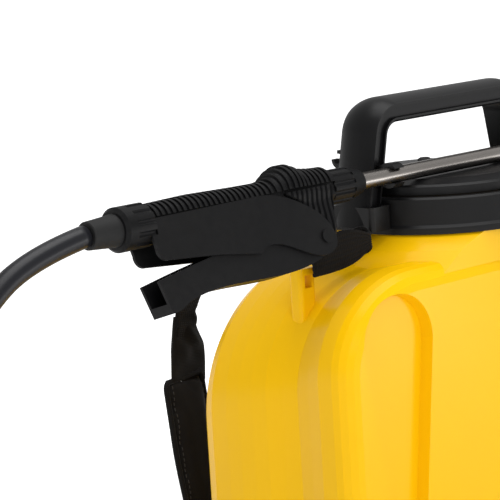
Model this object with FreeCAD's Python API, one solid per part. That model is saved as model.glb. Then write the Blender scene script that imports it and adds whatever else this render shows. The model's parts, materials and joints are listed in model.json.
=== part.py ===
import FreeCAD, Part
import math
import os

os.makedirs("parts", exist_ok=True)

V = FreeCAD.Vector
X_AXIS, Y_AXIS, Z_AXIS = V(1, 0, 0), V(0, 1, 0), V(0, 0, 1)

# ---- driving dimensions, millimetres --------------------------------------
# The origin is the centre of the footprint on the ground.  The wearer stands
# on the +Y side, X runs across the shoulders and Z is up.
COLLAR_Z = 415.0          # underside of the filler collar
WALL = 3.0                # blow-moulded tank wall
TANK_FLOOR = 63.0         # tank rests on the base here
NECK_R = 76.0             # neck of the filler opening, outside
NECK_BORE_R = 66.0
COLLAR_R, COLLAR_LIP_R, COLLAR_H = 83.0, 85.0, 26.5
LID_R, LID_TOP_R, LID_TOP, LID_PLUG_R = 74.0, 60.0, 37.4, 57.6
HANDLE_W, HANDLE_T, HANDLE_CROWN = 34.0, 14.0, 4.0
HANDLE_TOP, HANDLE_FOOT_X, HANDLE_TOP_X = 94.0, 102.0, 84.5
BASE_HALF_X, BASE_Y0, BASE_Y1, BASE_H = 186.0, -66.0, 76.0, 63.0

WAND_Y, WAND_Z = -26.0, COLLAR_Z + 44.0
WAND_R, WAND_BORE_R = 6.0, 4.8
WAND_X0, WAND_X1 = -148.0, 396.0
GRIP_X0, GRIP_X1 = -328.0, -155.0
GRIP_BORE_R = 8.0
GUN_ROLL = 17.0           # trigger side leans away from the tank
PLATE_IN, PLATE_OUT = 10.5, 12.8
PIVOT_X, PIVOT_Z, PIVOT_R = -178.0, -34.0, 2.5
STEM_X, STEM_R = -212.0, 2.4
RIB_PITCH, RIB_COUNT, RIB_H = 4.85, 35, 1.3

SHAFT_Y, SHAFT_Z, SHAFT_R = 20.0, 32.0, 6.0
CRANK_R, CRANK_X = 36.0, 0.0
PUMP_Y = SHAFT_Y - 34.0
LEVER_X = 206.0

HOSE_R = 7.5
HOSE_ROUTE = [
    (-378.6, -26, 459), (-426, -27, 452), (-472, -32, 428), (-513, -38, 380),
    (-538, -40, 312), (-548, -34, 228), (-549, -8, 142), (-546, 40, 72),
    (-536, 100, 26), (-512, 166, 10), (-464, 218, 9), (-400, 235, 9),
    (-339, 208, 9), (-307, 150, 9), (-300, 104, 13), (-268, 52, 23), (-207.8, 32, 32),
]


# ---- small makers ----------------------------------------------------------
def put(node, shape):
    shape.exportStep("parts/%s.step" % node)
    print("%-24s solids %d  volume %.1f cm3" % (node, len(shape.Solids), shape.Volume / 1000.0))


def fuse(shapes):
    whole = shapes[0]
    for shape in shapes[1:]:
        whole = whole.fuse(shape)
    return whole.removeSplitter()


def group(shapes):
    return Part.makeCompound(shapes)


def moved(shape, x=0.0, y=0.0, z=0.0):
    copy = shape.copy()
    copy.translate(V(x, y, z))
    return copy


def mirrored(shape):
    return shape.mirror(V(0, 0, 0), X_AXIS)


def box(x0, x1, y0, y1, z0, z1):
    return Part.makeBox(x1 - x0, y1 - y0, z1 - z0, V(x0, y0, z0))


def rod(radius, length, start, axis=Z_AXIS):
    return Part.makeCylinder(radius, length, V(*start), axis)


def tube(outer, inner, length, start, axis=Z_AXIS):
    return rod(outer, length, start, axis).cut(rod(inner, length, start, axis))


def spun(profile, axis=Z_AXIS, centre=(0, 0, 0)):
    """Turned part: profile is (radius, height) pairs about +Z, moved onto another axis."""
    points = [V(r, 0, h) for r, h in profile]
    wire = Part.makePolygon(points + [points[0]])
    solid = Part.Face(wire).revolve(V(0, 0, 0), Z_AXIS, 360)
    if axis is not Z_AXIS:
        solid.Placement = FreeCAD.Placement(V(0, 0, 0), FreeCAD.Rotation(Z_AXIS, axis))
    solid.translate(V(*centre))
    return solid


def rounded_rect(x0, x1, y0, y1, z, radius):
    corners = [
        (x1 - radius, y0 + radius, -90), (x1 - radius, y1 - radius, 0),
        (x0 + radius, y1 - radius, 90), (x0 + radius, y0 + radius, 180),
    ]
    edges = []
    for cx, cy, start in corners:
        circle = Part.Circle(V(cx, cy, z), Z_AXIS, radius)
        first, last = math.radians(start), math.radians(start + 90)
        edges.append(Part.Arc(circle, first, last).toShape())
    joined = []
    for here, after in zip(edges, edges[1:] + edges[:1]):
        joined.append(here)
        joined.append(Part.makeLine(here.Vertexes[-1].Point, after.Vertexes[0].Point))
    return Part.Wire(joined)


def slab(x0, x1, y0, y1, z0, z1, radius):
    face = Part.Face(rounded_rect(x0, x1, y0, y1, z0, radius))
    return face.extrude(V(0, 0, z1 - z0))


def route_tube(points, radius, name):
    """Tube of straight runs joined by tangent arcs, each as large as its runs allow."""
    pts = [V(*p) for p in points]
    edges, start, radii = [], pts[0], []
    for before, corner, after in zip(pts, pts[1:], pts[2:]):
        into, out = corner - before, after - corner
        half_turn = into.getAngle(out) / 2.0
        reach = 0.45 * min(into.Length, out.Length)
        radii.append(reach / math.tan(half_turn))
        into.normalize()
        out.normalize()
        first, last = corner - into * reach, corner + out * reach
        inward = out - into
        inward.normalize()
        bulge = radii[-1] / math.cos(half_turn) - radii[-1]
        edges.append(Part.LineSegment(start, first).toShape())
        edges.append(Part.Arc(first, corner + inward * bulge, last).toShape())
        start = last
    edges.append(Part.LineSegment(start, pts[-1]).toShape())
    path = Part.Wire(edges)
    profile = Part.Wire([Part.Circle(pts[0], pts[1] - pts[0], radius).toShape()])
    solid = path.makePipeShell([profile], True, False)
    ideal = math.pi * radius * radius * path.Length
    print(name, "length %.0f mm" % path.Length, "volume ratio %.4f" % (solid.Volume / ideal))
    print(name, "radii", [round(r) for r in radii])
    return solid


# ---- tank ------------------------------------------------------------------
def arch(y, half, top, corner_x, corner_z, floor=TANK_FLOOR, foot=26.0):
    """Arched outline of the tank at one depth, as one closed wire."""
    right = V(half - corner_x, y, top - corner_z)
    left = V(-half + corner_x, y, top - corner_z)
    crown_r = Part.Ellipse(right + V(corner_x, 0, 0), right + V(0, 0, corner_z), right)
    crown_l = Part.Ellipse(left - V(corner_x, 0, 0), left + V(0, 0, corner_z), left)
    slant = foot * (1 - math.sqrt(0.5))
    a, b = V(half - foot, y, floor), V(half, y, floor + foot)
    c, d = V(half, y, top - corner_z), V(half - corner_x, y, top)
    mid = V(half - slant, y, floor + slant)
    flip = lambda p: V(-p.x, p.y, p.z)
    quarter = math.pi / 2
    edges = [
        Part.Arc(a, mid, b).toShape(), Part.makeLine(b, c), Part.Arc(crown_r, 0, quarter).toShape(),
        Part.makeLine(d, flip(d)), Part.Arc(crown_l, 0, quarter).toShape(),
        Part.makeLine(flip(c), flip(b)), Part.Arc(flip(b), flip(mid), flip(a)).toShape(),
        Part.makeLine(flip(a), a),
    ]
    return Part.Wire(Part.__sortEdges__(edges))


TANK_SECTIONS = [        # depth, half width, drop below collar, corner width, corner height
    (-75, 195, 17, 80, 66), (-48, 195, 16, 84, 70), (-22, 189, 21, 90, 78), (4, 195, 17, 96, 88),
    (30, 197, 16, 104, 97), (57, 195, 19, 109, 102), (84, 190, 24, 114, 108),
]
FRONT_ROUND, BACK_ROUND = 14.0, 24.0


def section_at(y):
    """Half width, drop and corner sizes at one depth, eased between the listed sections."""
    rows = TANK_SECTIONS
    for k in range(len(rows) - 1):
        if rows[k][0] <= y <= rows[k + 1][0]:
            break
    t = (y - rows[k][0]) / (rows[k + 1][0] - rows[k][0])
    ends = rows[max(k - 1, 0)], rows[k], rows[k + 1], rows[min(k + 2, len(rows) - 1)]
    values = []
    for a, b, c, d in list(zip(*ends))[1:]:
        slope_b, slope_c = (c - a) / 2.0, (d - b) / 2.0
        values.append((2 * t**3 - 3 * t**2 + 1) * b + (t**3 - 2 * t**2 + t) * slope_b
                      + (3 * t**2 - 2 * t**3) * c + (t**3 - t**2) * slope_c)
    return values


def tank_stations(turns, between):
    """Depths and insets: a quarter round at the front and back, plain sections between."""
    front, back = TANK_SECTIONS[0][0], TANK_SECTIONS[-1][0]
    angles = [math.radians(90.0 * k / turns) for k in range(turns + 1)]
    near = [(front + FRONT_ROUND * (1 - math.cos(a)), FRONT_ROUND * (1 - math.sin(a))) for a in angles]
    far = [(back - BACK_ROUND * (1 - math.cos(a)), BACK_ROUND * (1 - math.sin(a))) for a in angles]
    return near + [(y, 0.0) for y in between] + far[::-1]


def tank_form(wall, turns, between):
    wires = []
    stations = tank_stations(turns, between)
    for index, (y, inset) in enumerate(stations):
        half, drop, cx, cz = section_at(y)
        inset += wall
        y += wall * ((index == 0) - (index == len(stations) - 1))
        wires.append(arch(y, half - inset, COLLAR_Z - drop - inset, cx - inset, cz - inset,
                          TANK_FLOOR + inset, max(29.0 - inset, 2.0)))
    return Part.makeLoft(wires, True, True)


def front_recess(grow):
    """Drop-shaped pocket of the front face, wide at the top and narrow lower down."""
    top, low = COLLAR_Z - 66.0, COLLAR_Z - 210.0
    wires = []
    for y, swell in ((-90, 4.0), (-66, -2.0 + grow * 0.5)):
        wide, slim = 36.0 + swell + grow, 14.0 + swell + grow
        lead = V(-139, y, top)
        tail = V(-134, y, low)
        crown = Part.Arc(lead - V(wide, 0, 0), lead + V(0, 0, wide), lead + V(wide, 0, 0))
        chin = Part.Arc(tail + V(slim, 0, 0), tail - V(0, 0, slim), tail - V(slim, 0, 0))
        edges = [
            crown.toShape(), Part.makeLine(lead + V(wide, 0, 0), tail + V(slim, 0, 0)),
            chin.toShape(), Part.makeLine(tail - V(slim, 0, 0), lead - V(wide, 0, 0)),
        ]
        wires.append(Part.Wire(edges))
    pocket = Part.makeLoft(wires, True, True)
    return moved(pocket, 0, grow, 0)


def tank():
    outer = tank_form(0.0, 4, (-48, -35, -22, -9, 4, 17, 30, 43))
    inner = tank_form(WALL, 2, (-48, -22, 4, 30))
    left, left_grown = front_recess(0.0), front_recess(WALL)
    outer = outer.cut(left).cut(mirrored(left))
    inner = inner.cut(left_grown).cut(mirrored(left_grown))
    shoulder = spun([(0, COLLAR_Z - 60), (112, COLLAR_Z - 24), (97, COLLAR_Z - 10), (82, COLLAR_Z),
                     (0, COLLAR_Z)])
    front, back = TANK_SECTIONS[0][0], TANK_SECTIONS[-1][0]
    shoulder = shoulder.common(slab(-130, 130, front + 2, back - 6, COLLAR_Z - 70, COLLAR_Z, 30))
    neck = rod(NECK_R, COLLAR_H - 3.0, (0, 0, COLLAR_Z))
    shell = outer.fuse(shoulder).fuse(neck).cut(inner)
    shell = shell.cut(rod(NECK_BORE_R, 140, (0, 0, COLLAR_Z - 60)))
    for side in (-1, 1):
        horn = slab(side * 163 - 8, side * 163 + 8, -14, -2, COLLAR_Z - 58, COLLAR_Z - 12, 3.5)
        slot = Part.makeBox(7, 40, 9, V(side * 163 - 3.5, -30, COLLAR_Z - 26))
        shell = shell.fuse(horn.cut(slot).cut(inner))
    pump_hole = rod(34.4, 20, (CRANK_X, PUMP_Y, TANK_FLOOR - 5))
    return shell.cut(pump_hole)


# ---- collar, handle and lid ------------------------------------------------
def handle_section(z):
    """Crowned strip seen end on, with a channel sunk into each side."""
    half, edge, rim, deep = HANDLE_W / 2, HANDLE_T / 2, 4.0, 2.7
    left = [(-half, edge - 1.0), (-half, rim), (-half + deep, rim), (-half + deep, -rim),
            (-half, -rim), (-half, -edge + 1.5), (-half + 1.5, -edge)]
    right = [(-y, n) for y, n in reversed(left)]
    points = [V(0, y, z + n) for y, n in left + right]
    crown = Part.Arc(points[-1], V(0, 0, z + edge + HANDLE_CROWN), points[0]).toShape()
    sides = [Part.makeLine(a, b) for a, b in zip(points, points[1:])]
    return Part.Wire(sides + [crown])


def handle_bar():
    """Carry handle: an inverted U whose legs lean in, swept from one crowned section."""
    z = COLLAR_Z + HANDLE_TOP - HANDLE_T / 2
    middle, corner = V(0, 0, z), V(-HANDLE_TOP_X + HANDLE_T / 2, 0, z)
    foot = V(-HANDLE_FOOT_X + HANDLE_T / 2, 0, COLLAR_Z + 5.0)
    into, out = (corner - middle).normalize(), (foot - corner).normalize()
    half_turn = into.getAngle(out) / 2
    radius = 18.0
    reach = radius * math.tan(half_turn)
    bulge = radius / math.cos(half_turn) - radius
    first, last = corner - into * reach, corner + out * reach
    bend = Part.Arc(first, corner + (out - into).normalize() * bulge, last).toShape()
    path = Part.Wire([Part.makeLine(middle, first), bend, Part.makeLine(last, foot)])
    half = path.makePipeShell([handle_section(z)], True, False)
    return half.fuse(mirrored(half))


def wand_clip(side):
    """Open snap hook on the near face of a handle leg; the wand pushes in from -Y."""
    x = side * 82.0 - 5.0
    ring = tube(9.2, 6.25, 10.0, (x, WAND_Y, WAND_Z), X_AXIS)
    mouth = box(x - 1, x + 11, WAND_Y - 12, WAND_Y - 2.0, WAND_Z - 5.4, WAND_Z + 5.4)
    root_block = box(x, x + 10, WAND_Y + 6.4, -HANDLE_W / 2 + 4.0, WAND_Z - 7.0, WAND_Z + 7.0)
    return ring.cut(mouth).fuse(root_block)


def handle_collar():
    ring = spun([(NECK_R + 0.6, COLLAR_Z), (COLLAR_LIP_R, COLLAR_Z), (COLLAR_LIP_R, COLLAR_Z + 4.5),
                 (COLLAR_R, COLLAR_Z + 6.5), (COLLAR_R, COLLAR_Z + COLLAR_H - 1.5),
                 (COLLAR_R - 1.5, COLLAR_Z + COLLAR_H), (NECK_R + 0.6, COLLAR_Z + COLLAR_H)])
    pads = []
    for side in (-1, 1):
        pad = slab(-11, 11, -22, 22, COLLAR_Z + 4.5, COLLAR_Z + 22, 4)
        pads.append(moved(pad, side * 91.0, 0, 0))
        pads.append(wand_clip(side))
    hollow = rod(NECK_R + 0.6, 60, (0, 0, COLLAR_Z - 5))
    legs = handle_bar().cut(rod(NECK_R + 0.6, 30, (0, 0, COLLAR_Z - 2)))
    body = ring.fuse(pads).fuse(legs).cut(hollow)
    hook = tube(7.0, 4.4, 6.0, (-89.0, HANDLE_W / 2 + 2.5, COLLAR_Z + 54), X_AXIS)
    hook = hook.cut(box(-100, -80, HANDLE_W / 2 + 3.5, 40, COLLAR_Z + 54, COLLAR_Z + 70))
    return body.fuse(hook).removeSplitter()


def lid():
    z = COLLAR_Z
    under, rim = z + COLLAR_H + 0.6, z + COLLAR_H + 8.0
    outer = spun([(0, under), (LID_R, under), (LID_R, rim - 1.5), (LID_R - 1.5, rim),
                  (LID_TOP_R + 1.5, z + LID_TOP - 0.4), (LID_TOP_R, z + LID_TOP), (0, z + LID_TOP)])
    plug = rod(LID_PLUG_R, under - z - 8, (0, 0, z + 8))
    hollow = spun([(0, z), (LID_PLUG_R - 3, z), (LID_PLUG_R - 3, under), (LID_TOP_R - 6, z + LID_TOP - 3),
                   (0, z + LID_TOP - 3)])
    body = outer.fuse(plug).cut(hollow)
    vent = rod(4.1, 20, (VENT[0], VENT[1], z + LID_TOP - 12))
    return body.cut(vent)


VENT = (30.0, 40.0)


def lid_vent():
    z = COLLAR_Z + LID_TOP
    return spun([(0, z - 9), (3.0, z - 9), (3.8, z - 6), (3.8, z), (5.4, z + 0.0), (5.4, z + 1.0), (3.6, z + 2.2),
                 (0, z + 2.6)], centre=(VENT[0], VENT[1], 0))


def strainer():
    top, low = COLLAR_Z + COLLAR_H - 3.0, COLLAR_Z - 62
    cup = spun([(0, low), (50, low), (60, COLLAR_Z + 1), (60, top), (72, top), (72, top + 1.6), (58.4, top + 1.6),
                (58.4, COLLAR_Z + 1), (48.6, low + 1.6), (0, low + 1.6)])
    slots = []
    for step in range(6):
        opening = box(-80, 80, -5, 5, low + 10, COLLAR_Z - 8)
        opening.rotate(V(0, 0, 0), Z_AXIS, step * 30)
        slots.append(opening)
    drains = [rod(5, 6, (26 * math.cos(a), 26 * math.sin(a), low - 2)) for a in
              [math.radians(60 * k) for k in range(6)]]
    return cup.cut(slots + drains)


def lid_gasket():
    return tube(71.5, 60.5, 1.7, (0, 0, COLLAR_Z + COLLAR_H - 1.2))


# ---- base and pump ---------------------------------------------------------
def base():
    outer = slab(-BASE_HALF_X, BASE_HALF_X, BASE_Y0, BASE_Y1, 2, BASE_H - 6, 30)
    top = slab(-BASE_HALF_X + 8, BASE_HALF_X - 8, BASE_Y0 + 8, BASE_Y1 - 8, BASE_H - 6, BASE_H, 24)
    inner = slab(-BASE_HALF_X + 3, BASE_HALF_X - 3, BASE_Y0 + 3, BASE_Y1 - 3, -1, BASE_H - 9, 27)
    inner_top = slab(-BASE_HALF_X + 11, BASE_HALF_X - 11, BASE_Y0 + 11, BASE_Y1 - 11, BASE_H - 9, BASE_H - 3, 21)
    shell = outer.fuse(top).cut(inner).cut(inner_top)
    ribs = [box(side * 110 - 1.5, side * 110 + 1.5, BASE_Y0 + 2, BASE_Y1 - 2, 14, BASE_H - 2) for side in (-1, 1)]
    boss = rod(12, 3.2, (BASE_HALF_X - 3, SHAFT_Y, SHAFT_Z), X_AXIS)
    shell = shell.fuse(ribs + [boss])
    bore = rod(8.0, 2 * BASE_HALF_X + 40, (-112, SHAFT_Y, SHAFT_Z), X_AXIS)
    hatch = rod(34.4, 20, (CRANK_X, PUMP_Y, BASE_H - 12))
    outlet = rod(9.2, 30, (-BASE_HALF_X - 10, SHAFT_Y + 12, SHAFT_Z), X_AXIS)
    arch_cut = slab(-90, 90, BASE_Y0 - 10, BASE_Y0 + 10, -1, 14, 8)
    return shell.cut([bore, hatch, outlet, arch_cut])


def feet():
    pieces = []
    for x in (-150, 150):
        for y in (-50, 60):
            pieces.append(spun([(0, 0), (10, 0), (11, 1), (11, 12), (0, 12)], centre=(x, y, 0)))
    return pieces


def shaft_bushes():
    """Plastic sleeves in the two ribs and the side wall, where the shaft turns."""
    seats = ((-112.5, 5.0), (107.5, 5.0), (BASE_HALF_X - 4.0, 5.0))
    return [tube(7.85, SHAFT_R + 0.15, length, (x, SHAFT_Y, SHAFT_Z), X_AXIS) for x, length in seats]


def pump_chamber():
    """Pressure chamber standing in the tank, with the pump barrel hanging below it."""
    dome = spun([(0, 66.2), (42, 66.2), (42, 218), (28, 237), (0, 241)])
    inside = spun([(0, 69.2), (39, 69.2), (39, 217), (26, 234), (0, 238)])
    barrel = rod(34.0, 20, (0, 0, 50))
    bore = rod(20.2, 60, (0, 0, 40))
    sleeve = tube(23.5, 20.2, 80, (0, 0, 66))
    chamber = dome.cut(inside).fuse([barrel, sleeve]).cut(bore)
    return moved(chamber, CRANK_X, PUMP_Y, 0)


def pump_nut():
    ring = tube(38, 34.4, 9, (CRANK_X, PUMP_Y, BASE_H - 12.4))
    grips = [rod(2.4, 9, (CRANK_X + 38 * math.cos(a), PUMP_Y + 38 * math.sin(a), BASE_H - 12.4))
             for a in [math.radians(30 * k) for k in range(12)]]
    return ring.fuse(grips).removeSplitter()


def piston_parts():
    low = SHAFT_Z - CRANK_R / 2
    stem = rod(5.0, 54, (CRANK_X, PUMP_Y, low + 16))
    fork = box(CRANK_X - 9, CRANK_X + 9, PUMP_Y - 9, PUMP_Y + 9, low - 7, low + 17)
    fork = fork.cut(box(CRANK_X - 4.6, CRANK_X + 4.6, PUMP_Y - 12, PUMP_Y + 12, low - 9, low + 13))
    pin = rod(2.6, 18, (CRANK_X - 9, PUMP_Y, low), X_AXIS)
    piston = rod(18.4, 10, (CRANK_X, PUMP_Y, low + 70)).fuse(rod(15.4, 6, (CRANK_X, PUMP_Y, low + 80)))
    cup = tube(19.8, 15.6, 5.6, (CRANK_X, PUMP_Y, low + 80.2))
    return fork.fuse(stem).removeSplitter().cut(pin), pin, piston, cup


def crank():
    """Crank arm on the shaft; its slotted end straddles the pin of the piston rod."""
    low = SHAFT_Z - CRANK_R / 2
    tip = V(CRANK_X, PUMP_Y, low)
    hub = tube(11, SHAFT_R + 0.03, 24, (CRANK_X - 12, SHAFT_Y, SHAFT_Z), X_AXIS)
    arm_dir = tip - V(CRANK_X, SHAFT_Y, SHAFT_Z)
    length, angle = arm_dir.Length + 7, math.degrees(math.atan2(arm_dir.z, arm_dir.y))
    arm = slab(0, length, -7.2, 7.2, -4, 4, 6.5)
    slot = slab(length - 17.5, length - 1.2, -3.6, 3.6, -5, 5, 3.5)
    arm = arm.cut(slot).cut(rod(SHAFT_R + 3, 20, (0, 0, -10)))
    arm.Placement = FreeCAD.Placement(V(0, 0, 0), FreeCAD.Rotation(V(0, 1, 0), V(0, 0, 1), V(1, 0, 0), "ZXY"))
    arm.rotate(V(0, 0, 0), X_AXIS, angle)
    arm.translate(V(CRANK_X, SHAFT_Y, SHAFT_Z))
    return hub.fuse(arm).removeSplitter()


def lever_arm():
    """Flat steel lever beside the tank: straight up, then a bend over to the grip."""
    start = V(LEVER_X, SHAFT_Y, SHAFT_Z)
    points = [start, V(LEVER_X, SHAFT_Y, 250), V(LEVER_X, SHAFT_Y + 60, 330), V(LEVER_X, SHAFT_Y + 160, 344)]
    edges, here = [], points[0]
    for before, corner, after in zip(points, points[1:], points[2:]):
        into, out = (corner - before).normalize(), (after - corner).normalize()
        reach = 30.0
        radius = reach / math.tan(into.getAngle(out) / 2)
        first, last = corner - into * reach, corner + out * reach
        bulge = radius / math.cos(into.getAngle(out) / 2) - radius
        edges.append(Part.makeLine(here, first))
        edges.append(Part.Arc(first, corner + (out - into).normalize() * bulge, last).toShape())
        here = last
    edges.append(Part.makeLine(here, points[-1]))
    profile = rounded_rect(LEVER_X - 3, LEVER_X + 3, SHAFT_Y - 9, SHAFT_Y + 9, SHAFT_Z, 2.4)
    arm = Part.Wire(edges).makePipeShell([profile], True, False)
    hub = rod(14, 10, (LEVER_X - 5, SHAFT_Y, SHAFT_Z), X_AXIS)
    return arm.fuse(hub).cut(rod(SHAFT_R, 40, (LEVER_X - 20, SHAFT_Y, SHAFT_Z), X_AXIS)).removeSplitter()


def lever_nut():
    """Hexagon nut on the end of the shaft."""
    corners = [V(0, 9.8 * math.cos(math.radians(60 * k)), 9.8 * math.sin(math.radians(60 * k))) for k in range(6)]
    nut = Part.Face(Part.makePolygon(corners + [corners[0]])).extrude(V(6.0, 0, 0))
    return moved(nut, LEVER_X + 5.3, SHAFT_Y, SHAFT_Z).cut(rod(SHAFT_R + 0.03, 60, (LEVER_X - 20, SHAFT_Y, SHAFT_Z), X_AXIS))


def lever_grip():
    y0, z = SHAFT_Y + 92, 336.0
    rings = [(0, 0), (12, 0), (14, 3), (13, 56), (15, 108), (9, 118), (0, 118)]
    grip = spun(rings, Y_AXIS, (LEVER_X, y0, z))
    grip.rotate(V(LEVER_X, y0, z), X_AXIS, 8.0)
    return grip.cut(lever_arm())


# ---- spray gun, built on the wand axis and then rolled ----------------------
def on_gun(shape):
    placed = moved(shape, 0, WAND_Y, WAND_Z)
    placed.rotate(V(0, WAND_Y, WAND_Z), X_AXIS, -GUN_ROLL)
    return placed


GRIP_CROWN = [           # place along the grip, height of the top over the axis
    (0, 12.2), (41, 13.2), (84, 12.2), (105, 12.0), (114, 13.0), (121, 17.0), (127, 20.2),
    (133, 21.6), (139, 19.6), (145, 16.6), (158, 15.0), (173, 14.4),
]
GRIP_BELLY = 11.6


def crown_at(place):
    for (p0, t0), (p1, t1) in zip(GRIP_CROWN, GRIP_CROWN[1:]):
        if p0 <= place <= p1:
            return t0 + (t1 - t0) * (place - p0) / (p1 - p0)
    return GRIP_CROWN[-1][1]


def grip_ring(place, top):
    centre = V(GRIP_X0 + place, 0, (top - GRIP_BELLY) / 2)
    ring = Part.Circle(centre, X_AXIS, (top + GRIP_BELLY) / 2).toShape()
    ring.rotate(centre, X_AXIS, 45)
    return Part.Wire([ring])


def grip_outer():
    """Round core whose crown swells over the valve, and the raised ribs of its upper half."""
    core = Part.makeLoft([grip_ring(place, top) for place, top in GRIP_CROWN], True, True)
    hidden_half = box(GRIP_X0 - 1, GRIP_X1 + 1, -40, 40, -40, 0.5)
    ribs = []
    for k in range(RIB_COUNT):
        place = 4.0 + k * RIB_PITCH
        top = crown_at(place)
        centre = V(GRIP_X0 + place - 1.15, 0, (top - GRIP_BELLY) / 2)
        rib = rod((top + GRIP_BELLY) / 2 + RIB_H, 2.3, centre, X_AXIS)
        rib.rotate(centre, X_AXIS, 45)
        ribs.append(rib.cut(hidden_half))
    return core, ribs


def side_plate_outline():
    edge = [V(-335, 0, 1.5), V(-236, 0, 2.5)]
    nose = Part.BSplineCurve()
    nose.interpolate([edge[1], V(-213, 0, 0), V(-191, 0, -9), V(-173, 0, -23), V(-168, 0, -34)])
    belly = Part.BSplineCurve()
    belly.interpolate([V(-168, 0, -34), V(-170.5, 0, -42), V(-179, 0, -46), V(-193, 0, -44.5), V(-242, 0, -36)])
    lines = [Part.makeLine(V(-242, 0, -36), V(-280, 0, -30.6)), Part.makeLine(V(-280, 0, -30.6), V(-325, 0, -27))]
    heel = Part.Arc(V(-325, 0, -27), V(-330.5, 0, -24.8), V(-332.5, 0, -18)).toShape()
    back = Part.makeLine(V(-332.5, 0, -18), edge[0])
    edges = [Part.makeLine(*edge), nose.toShape(), belly.toShape()] + lines + [heel, back]
    return Part.Wire(edges)


def side_plates():
    face = Part.Face(side_plate_outline())
    pin_hole = rod(PIVOT_R, 60, (PIVOT_X, -30, PIVOT_Z), Y_AXIS)
    nut_room = rod(15.8, 30, (GRIP_X0 - 30, 0, 0), X_AXIS)
    plates = []
    for y in (-PLATE_OUT, PLATE_IN):
        plate = moved(face, 0, y, 0).extrude(V(0, PLATE_OUT - PLATE_IN, 0)).cut([pin_hole, nut_room])
        plates.append(plate)
    return plates


def grip_body():
    core, ribs = grip_outer()
    seats = [box(-340, -140, -30, -PLATE_IN, -40, 2.6), box(-340, -140, PLATE_IN, 30, -40, 2.6)]
    bore = rod(GRIP_BORE_R, 260, (GRIP_X0 - 20, 0, 0), X_AXIS)
    stem_hole = rod(STEM_R + 0.4, 40, (STEM_X, 0, -40))
    return core.fuse(ribs).cut(seats + [bore, stem_hole])


def valve_parts():
    body = tube(GRIP_BORE_R - 0.05, 3.5, 166, (-324, 0, 0), X_AXIS).cut(rod(STEM_R + 0.3, 20, (STEM_X, 0, -20)))
    stem = rod(STEM_R, 29.2, (STEM_X, 0, -32.8)).fuse(rod(4.4, 1.8, (STEM_X, 0, -29)))
    spring = tube(4.0, 2.9, 12.6, (STEM_X, 0, -26.9))
    pin = rod(PIVOT_R, 2 * PLATE_OUT, (PIVOT_X, -PLATE_OUT, PIVOT_Z), Y_AXIS)
    heads = [rod(4.6, 1.6, (PIVOT_X, -PLATE_OUT - 1.6, PIVOT_Z), Y_AXIS), rod(4.6, 1.6, (PIVOT_X, PLATE_OUT, PIVOT_Z), Y_AXIS)]
    return body, stem, spring, pin.fuse(heads)


def outlet_parts():
    """Barbed outlet in the side of the base with its hose nut."""
    x = -BASE_HALF_X
    y, z = SHAFT_Y + 12, SHAFT_Z
    elbow = spun([(3.5, 0), (9.0, 0), (9.0, 10), (7.2, 10), (7.2, 16), (3.5, 16)], V(-1, 0, 0), (x + 10, y, z))
    washer = tube(14.0, 9.2, 2.5, (x + 3.2, y, z), X_AXIS)
    nut = ribbed_nut(x - 19.6, 19.4, 13.5, 7.7, -1, 12)
    return elbow, washer, moved(nut, 0, y, z)


def trigger_lever():
    """U-channel lever, open on its upper side, turning on the pin at the nozzle end."""
    top = [V(-336, 0, -39), V(-304, 0, -33.4), V(-276, 0, -29.4), V(-234, 0, -26.5), V(-186, 0, -26)]
    crest = Part.BSplineCurve()
    crest.interpolate(top)
    hub = Part.Arc(V(-186, 0, -26), V(-171.6, 0, -32), V(-176, 0, -44.5)).toShape()
    sole = [V(-176, 0, -44.5), V(-186, 0, -48), V(-245, 0, -52.5), V(-316, 0, -57)]
    under = Part.BSplineCurve()
    under.interpolate(sole)
    toe = Part.Arc(sole[-1], V(-323, 0, -60.2), V(-331, 0, -61.5)).toShape()
    end = Part.makeLine(V(-331, 0, -61.5), top[0])
    outline = Part.Wire([crest.toShape(), hub, under.toShape(), toe, end])
    block = moved(Part.Face(outline), 0, -10.0, 0).extrude(V(0, 20.0, 0))
    channel_top = [V(-350, 0, -20), V(-350, 0, -54.5), V(-326, 0, -54.5), V(-245, 0, -49.5), V(-194, 0, -45.4),
                   V(-194, 0, -20)]
    channel = Part.Face(Part.makePolygon(channel_top + [channel_top[0]]))
    block = block.cut(moved(channel, 0, -7.8, 0).extrude(V(0, 15.6, 0)))
    block = block.cut(rod(PIVOT_R + 0.15, 40, (PIVOT_X, -20, PIVOT_Z), Y_AXIS))
    return block.fuse(box(STEM_X - 4, STEM_X + 4, -8, 8, -49.0, -33.4))


def ribbed_nut(x0, length, radius, bore, nose, teeth):
    """Hand nut along X: body, tapered nose towards +X or -X, and grip flutes."""
    if nose > 0:
        steps = [(bore, 0), (radius, 0), (radius, length * 0.55), (radius * 0.72, length), (bore, length)]
    else:
        steps = [(bore, 0), (radius * 0.86, 0), (radius, 2.5), (radius, length), (bore, length)]
    body = spun(steps, X_AXIS, (x0, 0, 0))
    flutes = []
    for k in range(teeth):
        a = 2 * math.pi * k / teeth
        reach = length * 0.62
        start = (x0 + (0 if nose > 0 else length - reach), (radius + 0.6) * math.cos(a), (radius + 0.6) * math.sin(a))
        flutes.append(rod(2.0, reach, start, X_AXIS))
    return body.cut(flutes)


def hose_sleeve():
    """Tapered bend protector between the hose nut and the hose."""
    return spun([(0, 0), (11.2, 0), (10.6, 5), (9.4, 22.4), (8.8, 23), (0, 23)], V(-1, 0, 0), (-354, 0, 0))


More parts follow.
